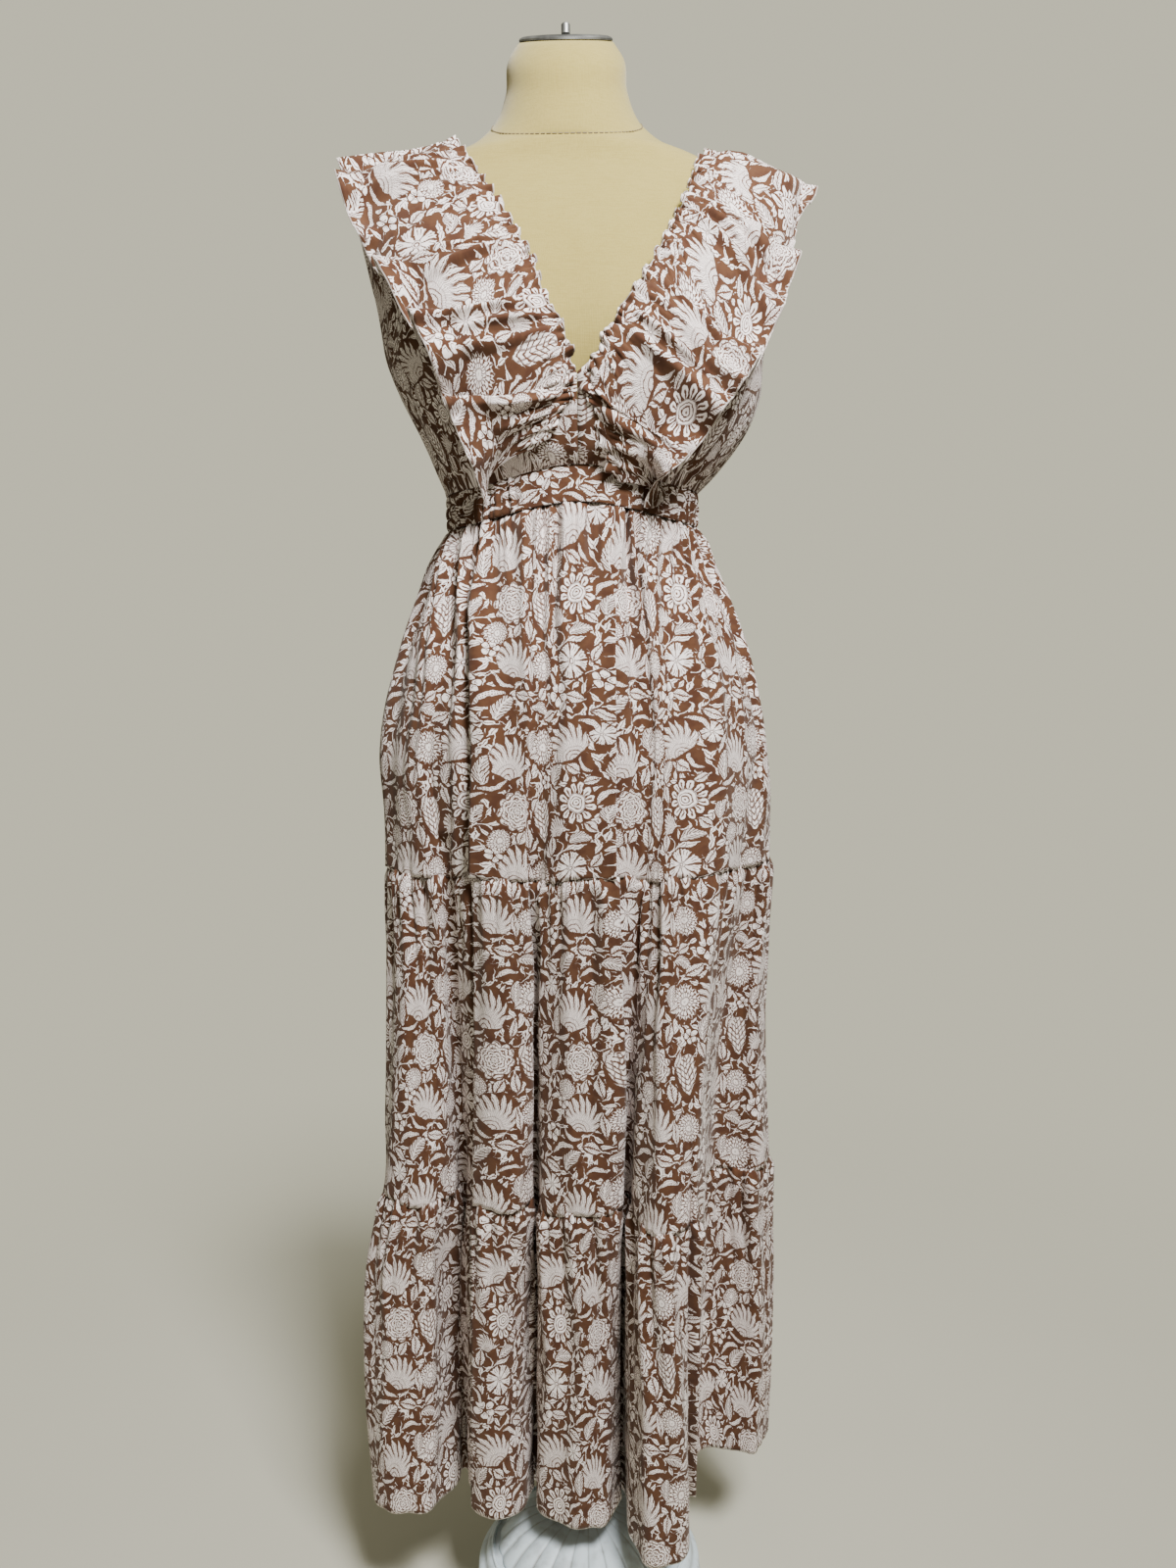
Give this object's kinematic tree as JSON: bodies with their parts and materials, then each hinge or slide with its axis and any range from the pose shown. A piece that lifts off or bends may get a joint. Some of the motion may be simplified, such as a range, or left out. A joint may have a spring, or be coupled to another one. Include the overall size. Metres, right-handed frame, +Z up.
{
  "type": "v-neck dress on dress form",
  "caption": "Tiered maxi dress with a v-neck and wide ruffles over the shoulders, hanging on a limbless dress form with a pole and a round foot.",
  "frame": {"origin": "on the floor, under the stand's pole", "axes": "+Z up the pole; the front of the dress faces -Y; +X is at the right as seen from the front"},
  "size_m": [0.4356, 0.2711, 1.5218],
  "materials": {
    "cotton": "printed cotton voile",
    "form_cover": "plain woven cover",
    "steel": "satin",
    "white_iron": "white paint, satin"
  },
  "bodies": {
    "root": {"bodice_front_left": "cotton", "bodice_front_right": "cotton", "bodice_back_left": "cotton", "bodice_back_right": "cotton", "ruffle_left": "cotton", "ruffle_right": "cotton", "waistband_front": "cotton", "waistband_back": "cotton", "skirt_top_tier_front": "cotton", "skirt_top_tier_back": "cotton", "skirt_middle_tier_front": "cotton", "skirt_middle_tier_back": "cotton", "skirt_lowest_tier_front": "cotton", "skirt_lowest_tier_back": "cotton", "dress_form": "form_cover", "neck_cap": "steel", "neck_pin": "steel", "form_flange": "steel", "stand_pole": "steel", "stand_dome": "white_iron", "stand_foot": "white_iron"}
  },
  "joints": []
}
